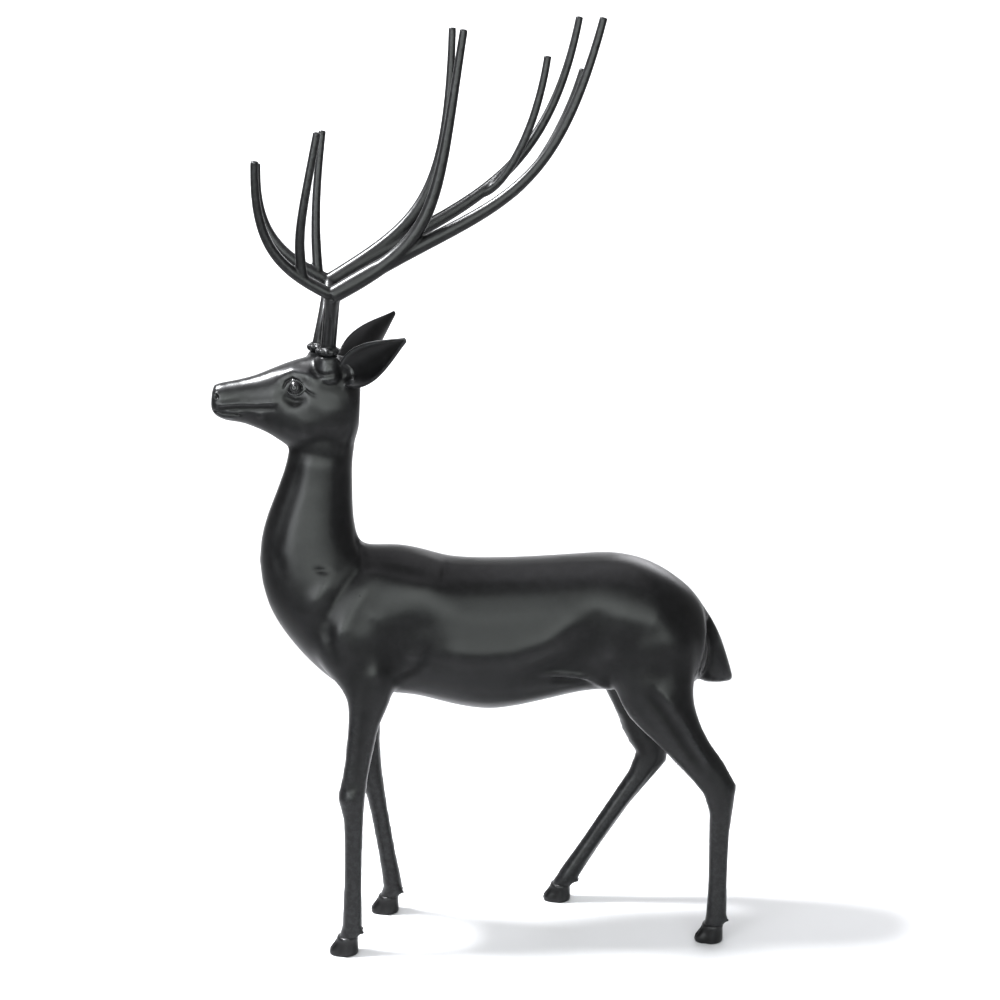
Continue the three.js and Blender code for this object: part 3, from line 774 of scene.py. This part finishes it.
# Each tine: the tine that it springs from and where along it, or None for the fork, and then its start, two
# handles and end, as distance back, share of the reach outwards, and rise
TINES = {
    LEFT: {
        "brow": (None, [FORK, (-0.078, 0.68, 0.151), (-0.118, 0.80, 0.192), (-0.111, 1, 0.321)]),
        "upright": (("brow", 0.20), [(-0.048, 0.76, 0.205), (-0.043, 0.86, 0.220), (-0.013, 1, 0.365)]),
        "middle": (None, [FORK, (0.184, 0.70, 0.196), (0.174, 0.80, 0.243), (0.219, 1, 0.522)]),
        "rear": (None, [FORK, (0.255, 0.70, 0.261), (0.358, 0.85, 0.225), (0.439, 1, 0.540)]),
        "inner": (("rear", 0.50), [(0.330, 0.70, 0.283), (0.388, 0.62, 0.376), (0.413, 0.60, 0.460)]),
    },
    RIGHT: {
        "brow": (None, [FORK, (-0.078, 0.68, 0.151), (-0.118, 0.80, 0.192), (-0.111, 1, 0.299)]),
        "upright": (("brow", 0.09), [(-0.016, 0.76, 0.188), (-0.016, 0.86, 0.240), (0, 1, 0.353)]),
        "middle": (None, [FORK, (0.168, 0.70, 0.206), (0.211, 0.80, 0.239), (0.222, 1, 0.522)]),
        "rear": (None, [FORK, (0.218, 0.70, 0.234), (0.379, 0.85, 0.249), (0.437, 1, 0.540)]),
        "inner": (("rear", 0.46), [(0.300, 0.66, 0.256), (0.358, 0.60, 0.343), (0.378, 0.58, 0.476)]),
    },
}
ROOT_DIAMETERS = {
    "brow": BROW_DIAMETER,
    "upright": BROW_DIAMETER * 0.86,
    "middle": BEAM_DIAMETER,
    "rear": BEAM_DIAMETER,
    "inner": BEAM_DIAMETER * 0.6,
}


# %% Places of the antlers
def seat_of(side):
    """The middle of the burr's lower face."""
    return Vector((BURR_X[side], side * BURR_Y + MIDDLE_Y, SEAT))


def antler_place(side, back, outwards, rise):
    return Vector((BURR_X[LEFT] + back, seat_of(side).y + side * ANTLER_REACH * outwards, SEAT + rise))


def on_sweep(ends_and_handles, share):
    """The place at a share of the length of a sweep."""
    a, b, c, d = [Vector(place) for place in ends_and_handles]
    steps = [k / SWEEP_STEPS for k in range(SWEEP_STEPS + 1)]
    line = [a * (1 - t) ** 3 + 3 * b * t * (1 - t) ** 2 + 3 * c * t * t * (1 - t) + d * t ** 3
            for t in steps]
    lengths = np.cumsum([0] + [(p - q).length for p, q in zip(line, line[1:])])
    return line[int(np.searchsorted(lengths, share * lengths[-1]))]


print("burrs at", [[round(v, 4) for v in seat_of(side)] for side in (LEFT, RIGHT)])

# %% Tines, stem and burr
def make_tines(side):
    """One rod for each tine, those that spring from another tine after it."""
    rods, sweeps = [], {}
    for name, (source, places) in TINES[side].items():
        line = [antler_place(side, *place) for place in places]
        if source:
            line.insert(0, on_sweep(sweeps[source[0]], source[1]))
        sweeps[name] = line
        rods.append(swept_rod(line, ROOT_DIAMETERS[name], TIP_DIAMETER, lengthen=TIP_EXTRA))
    return rods


def stem_line(side):
    lean = Vector((STEM_LEAN[side], 0, 0.040))
    return [seat_of(side) + Vector((0, 0, 0.005)), seat_of(side) + lean,
            antler_place(side, 0.006, 0.4, 0.080), antler_place(side, *FORK)]


def make_burr(side):
    """A disc with a ring of pearls of uneven size and height."""
    seat = seat_of(side)
    bpy.ops.mesh.primitive_cylinder_add(vertices=48, radius=BURR_DIAMETER * 0.43, depth=BURR_HEIGHT * 0.86,
                                        location=seat + Vector((0, 0, BURR_HEIGHT * 0.43)))
    pieces = [bpy.context.active_object]
    for k in range(PEARLS):
        angle = 2 * math.pi * k / PEARLS
        size = PEARL_RADIUS + 0.0012 * math.sin(5.3 * k)
        reach = BURR_DIAMETER * 0.5 - size * 0.86
        rise = BURR_HEIGHT * (0.5 + 0.08 * math.sin(2.1 * k))
        bpy.ops.mesh.primitive_uv_sphere_add(
            segments=16, ring_count=10, radius=size,
            location=seat + Vector((reach * math.cos(angle), reach * math.sin(angle), rise)))
        pieces.append(bpy.context.active_object)
    return pieces


# %% Flutes of the stem
def flute_stem(antler, side):
    """Presses upright flutes into the stem above the burr. They run out before the fork."""
    middle_line = np.array([on_sweep(stem_line(side), k / 20) for k in range(21)])
    places = places_of(antler)
    x, y, z = places.T
    away_x = x - np.interp(z, middle_line[:, 2], middle_line[:, 0])
    away_y = y - np.interp(z, middle_line[:, 2], middle_line[:, 1])
    on_stem = smooth_step(z, SEAT + 0.014, SEAT + 0.024) * (1 - smooth_step(z, SEAT + 0.070, SEAT + 0.100))
    on_stem *= np.hypot(away_x, away_y) < STEM_DIAMETER * 0.62
    angle = np.arctan2(away_y, away_x)
    flutes = 0.5 + 0.5 * np.cos(FLUTES * angle + 1.2 * np.sin(angle))
    depth = FLUTE_DEPTH * on_stem * flutes ** 3 + SCRATCH_DEPTH * on_stem * np.cos(SCRATCHES * angle)
    set_places(antler, places - normals_of(antler) * depth[:, None])


# %% Build both antlers
def make_antler(side):
    rods = make_tines(side) + [swept_rod(stem_line(side), STEM_DIAMETER, STEM_DIAMETER)]
    name = "antler_casting_left" if side == LEFT else "antler_casting_right"
    antler = join_pieces(make_burr(side) + rods, name)
    apply_modifier(antler, "REMESH", mode="VOXEL", voxel_size=ANTLER_SKIN_STEP, use_smooth_shade=True)
    apply_modifier(antler, "SMOOTH", factor=0.5, iterations=6)
    flute_stem(antler, side)
    return antler


antlers = [make_antler(side) for side in (LEFT, RIGHT)]
for antler in antlers:
    print(antler.name, len(antler.data.polygons), "faces, top", round(places_of(antler)[:, 2].max(), 4))

# %% [markdown]
# ## The black finish
# The finish is a satin black coat over cast metal. The materials of body, antlers and eyes share its
# effects, so these are two node groups with named inputs. The first is the casting's own skin: slow waves a
# few centimetres long, a fine grain, and here and there a pit where gas was trapped. The second is the coat.
# Wear polishes it where hands and rain reach, on everything that stands out. Dust greys it in hollows, where
# water doesn't rinse it.

# %% Helpers for node trees
def new_group(name, inputs, outputs):
    group = bpy.data.node_groups.new(name, "ShaderNodeTree")
    for kind, socket_name, value in inputs:
        socket = group.interface.new_socket(name=socket_name, in_out="INPUT", socket_type=kind)
        socket.default_value = value
    for kind, socket_name in outputs:
        group.interface.new_socket(name=socket_name, in_out="OUTPUT", socket_type=kind)
    return group, group.nodes.new("NodeGroupInput"), group.nodes.new("NodeGroupOutput")


def node(tree, kind, **settings):
    added = tree.nodes.new(kind)
    for name, value in settings.items():
        setattr(added, name, value)
    return added


def feed(tree, socket, value):
    """Links another node's socket, or else sets a plain value."""
    if isinstance(value, bpy.types.NodeSocket):
        tree.links.new(value, socket)
    else:
        socket.default_value = value


def math_node(tree, operation, *values):
    added = node(tree, "ShaderNodeMath", operation=operation)
    for socket, value in zip(added.inputs, values):
        feed(tree, socket, value)
    return added.outputs["Value"]


def noise(tree, place, scale, detail, roughness=0.5):
    added = node(tree, "ShaderNodeTexNoise")
    tree.links.new(place, added.inputs["Vector"])
    added.inputs["Scale"].default_value = scale
    added.inputs["Detail"].default_value = detail
    added.inputs["Roughness"].default_value = roughness
    return added.outputs["Fac"]


def mapped(tree, value, low, high):
    """0 at low, 1 at high, with a soft change between them. Low may be the larger one."""
    added = node(tree, "ShaderNodeMapRange", interpolation_type="SMOOTHSTEP")
    tree.links.new(value, added.inputs["Value"])
    added.inputs["From Min"].default_value = low
    added.inputs["From Max"].default_value = high
    return added.outputs["Result"]


def mixed(tree, share, first, second):
    """Mixes two colours. A mix node for colours keeps them in its inputs 6 and 7 and gives output 2."""
    added = node(tree, "ShaderNodeMix", data_type="RGBA")
    tree.links.new(share, added.inputs["Factor"])
    feed(tree, added.inputs[6], first)
    feed(tree, added.inputs[7], second)
    return added.outputs[2]


# %% A group for the skin of the casting
WAVE_SCALE, GRAIN_SCALE, MOTTLE_SCALE, PIT_SCALE = 22, 700, 60, 34      # features per metre
PIT_RADIUS = 0.085        # as a share of the distance between two pits
CELLS_WITHOUT_PIT = 0.80

skin_group, skin_in, skin_out = new_group(
    "casting_skin",
    [("NodeSocketFloat", "Wave Height mm", 0.3), ("NodeSocketFloat", "Grain Height mm", 0.04),
     ("NodeSocketFloat", "Pit Depth mm", 0.5)],
    [("NodeSocketFloat", "Height mm"), ("NodeSocketFloat", "Pits"), ("NodeSocketFloat", "Mottle")])
where = node(skin_group, "ShaderNodeTexCoord").outputs["Object"]
waves = noise(skin_group, where, WAVE_SCALE, detail=1)
grain = noise(skin_group, where, GRAIN_SCALE, detail=2)
mottle = noise(skin_group, where, MOTTLE_SCALE, detail=4, roughness=0.6)
pit_cells = node(skin_group, "ShaderNodeTexVoronoi")
skin_group.links.new(where, pit_cells.inputs["Vector"])
pit_cells.inputs["Scale"].default_value = PIT_SCALE
in_pit = mapped(skin_group, pit_cells.outputs["Distance"], PIT_RADIUS, 0)
cell_color = node(skin_group, "ShaderNodeSeparateColor")
skin_group.links.new(pit_cells.outputs["Color"], cell_color.inputs["Color"])
has_pit = math_node(skin_group, "GREATER_THAN", cell_color.outputs["Red"], CELLS_WITHOUT_PIT)
pits = math_node(skin_group, "MULTIPLY", in_pit, has_pit)
height = math_node(skin_group, "MULTIPLY", waves, skin_in.outputs["Wave Height mm"])
height = math_node(skin_group, "MULTIPLY_ADD", grain, skin_in.outputs["Grain Height mm"], height)
pit_depth = math_node(skin_group, "MULTIPLY", pits, skin_in.outputs["Pit Depth mm"])
height = math_node(skin_group, "SUBTRACT", height, pit_depth)
skin_group.links.new(height, skin_out.inputs["Height mm"])
skin_group.links.new(pits, skin_out.inputs["Pits"])
skin_group.links.new(mottle, skin_out.inputs["Mottle"])
print("group", skin_group.name, "nodes", len(skin_group.nodes))


# %% [markdown]
# The coat's group reads "relief", a number that each point of a mesh carries: 0.5 where the skin is flat,
# more on what stands out and less in hollows. It is measured on the finished meshes further below.

# %% A group that colours the coat by relief
COAT_DARK = (0.0020, 0.0020, 0.0023, 1)
COAT_LIGHT = (0.0040, 0.0040, 0.0045, 1)
DUST_COLOR = (0.014, 0.0135, 0.013, 1)
WORN_COLOR = (0.022, 0.023, 0.025, 1)
PIT_COLOR = (0.003, 0.003, 0.0035, 1)
PATCH_SCALE = 130
CLEAR_COAT = 0.35

coat_group, coat_in, coat_out = new_group(
    "worn_black_coat",
    [("NodeSocketFloat", "Mottle", 0.5), ("NodeSocketFloat", "Pits", 0.0), ("NodeSocketFloat", "Dust", 0.5),
     ("NodeSocketFloat", "Wear", 0.5), ("NodeSocketFloat", "Satin", 0.42)],
    [("NodeSocketColor", "Color"), ("NodeSocketFloat", "Roughness"), ("NodeSocketFloat", "Polish")])
relief = node(coat_group, "ShaderNodeAttribute", attribute_name="relief").outputs["Fac"]
hollows = mapped(coat_group, relief, 0.5, 0.15)
ridges = mapped(coat_group, relief, 0.58, 0.9)
place = node(coat_group, "ShaderNodeTexCoord").outputs["Object"]
patches = mapped(coat_group, noise(coat_group, place, PATCH_SCALE, detail=5, roughness=0.7), 0.42, 0.62)
dust = math_node(coat_group, "MULTIPLY", hollows, patches)
dust = math_node(coat_group, "MULTIPLY", dust, coat_in.outputs["Dust"])
wear = math_node(coat_group, "MULTIPLY", ridges, patches)
wear = math_node(coat_group, "MULTIPLY", wear, coat_in.outputs["Wear"])
coat = mixed(coat_group, mapped(coat_group, coat_in.outputs["Mottle"], 0.35, 0.65), COAT_DARK, COAT_LIGHT)
coat = mixed(coat_group, dust, coat, DUST_COLOR)
coat = mixed(coat_group, wear, coat, WORN_COLOR)
coat = mixed(coat_group, coat_in.outputs["Pits"], coat, PIT_COLOR)
coat_group.links.new(coat, coat_out.inputs["Color"])
rough = math_node(coat_group, "MULTIPLY_ADD", coat_in.outputs["Mottle"], 0.10, coat_in.outputs["Satin"])
rough = math_node(coat_group, "SUBTRACT", rough, 0.05)
rough = math_node(coat_group, "MULTIPLY_ADD", dust, 0.35, rough)
rough = math_node(coat_group, "MULTIPLY_ADD", wear, -0.12, rough)
coat_group.links.new(rough, coat_out.inputs["Roughness"])
polish = mapped(coat_group, relief, 0.35, 0.75)
coat_group.links.new(math_node(coat_group, "MULTIPLY", polish, CLEAR_COAT), coat_out.inputs["Polish"])
print("group", coat_group.name, "nodes", len(coat_group.nodes))


# %% The materials themselves
MILLIMETRE = 0.001
PAINT_SHINE = 0.25


def black_finish(name, satin, dust, wear, wave, grain, pit, coat_roughness):
    """A satin black: the roughness, dust and wear of its coat, and waves, grain and pits in millimetres."""
    material = bpy.data.materials.new(name)
    material.use_nodes = True
    tree = material.node_tree
    shader = tree.nodes["Principled BSDF"]
    skin = node(tree, "ShaderNodeGroup", node_tree=skin_group)
    skin.inputs["Wave Height mm"].default_value = wave
    skin.inputs["Grain Height mm"].default_value = grain
    skin.inputs["Pit Depth mm"].default_value = pit
    coat = node(tree, "ShaderNodeGroup", node_tree=coat_group)
    coat.inputs["Satin"].default_value = satin
    coat.inputs["Dust"].default_value = dust
    coat.inputs["Wear"].default_value = wear
    tree.links.new(skin.outputs["Mottle"], coat.inputs["Mottle"])
    tree.links.new(skin.outputs["Pits"], coat.inputs["Pits"])
    tree.links.new(coat.outputs["Color"], shader.inputs["Base Color"])
    tree.links.new(coat.outputs["Roughness"], shader.inputs["Roughness"])
    bump = node(tree, "ShaderNodeBump")
    bump.inputs["Distance"].default_value = MILLIMETRE
    tree.links.new(skin.outputs["Height mm"], bump.inputs["Height"])
    tree.links.new(bump.outputs["Normal"], shader.inputs["Normal"])
    shader.inputs["Specular IOR Level"].default_value = PAINT_SHINE
    tree.links.new(coat.outputs["Polish"], shader.inputs["Coat Weight"])
    shader.inputs["Coat Roughness"].default_value = coat_roughness
    return material


body_finish = black_finish("black_finish_body", satin=0.35, dust=0.2, wear=0.5,
                           wave=0.35, grain=0.05, pit=0.6, coat_roughness=0.32)
antler_finish = black_finish("black_finish_antlers", satin=0.40, dust=0.2, wear=0.6,
                             wave=0.25, grain=0.05, pit=0.3, coat_roughness=0.3)
eye_finish = black_finish("black_finish_eyes", satin=0.30, dust=0.1, wear=0.4,
                          wave=0.1, grain=0.03, pit=0, coat_roughness=0.12)
print("materials:", [finish.name for finish in (body_finish, antler_finish, eye_finish)])


# %% Measure the relief of each mesh
# For each kind of piece: how many rounds of averaging its relief gets, and how strongly it counts
BODY_RELIEF = (12, 0.012)
SMALL_RELIEF = (3, 0.004)


def store_relief(piece, rounds, gain):
    """Measures how much the normals spread around each point, averaged with its neighbours."""
    mesh = piece.data
    places = places_of(piece)
    edges = np.empty(len(mesh.edges) * 2, int)
    mesh.edges.foreach_get("vertices", edges)
    one, other = edges.reshape(-1, 2).T
    normals = normals_of(piece)
    apart = places[other] - places[one]
    length_squared = np.maximum((apart ** 2).sum(1), 1e-12)
    bend = ((normals[other] - normals[one]) * apart).sum(1) / length_squared
    count = np.bincount(one, minlength=len(places)) + np.bincount(other, minlength=len(places))
    count = np.maximum(count, 1)

    def gathered(values_one, values_other):
        total = np.bincount(one, values_other, len(places)) + np.bincount(other, values_one, len(places))
        return total / count

    relief = gathered(bend, bend)
    for _ in range(rounds):
        relief = 0.5 * relief + 0.5 * gathered(relief[one], relief[other])
    attribute = mesh.attributes.new("relief", "FLOAT", "POINT")
    attribute.data.foreach_set("value", np.clip(0.5 + relief * gain, 0, 1))
    return relief


# %% Dress the pieces
for piece in [body, *eyes, *ears, *hooves, *antlers]:
    relief = store_relief(piece, *(BODY_RELIEF if piece is body else SMALL_RELIEF))
    finish = antler_finish if piece in antlers else eye_finish if piece in eyes else body_finish
    piece.data.materials.clear()
    piece.data.materials.append(finish)
    print(piece.name, "bend from", round(relief.min(), 1), "to", round(relief.max(), 1))

# %% Tie every piece to the frame
for piece in [body, *eyes, *ears, *hooves]:
    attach(piece, "root")
    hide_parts("stag_body")
for antler, solid in zip(antlers, ("antler_left", "antler_right")):
    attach(antler, "root")
    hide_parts(solid)
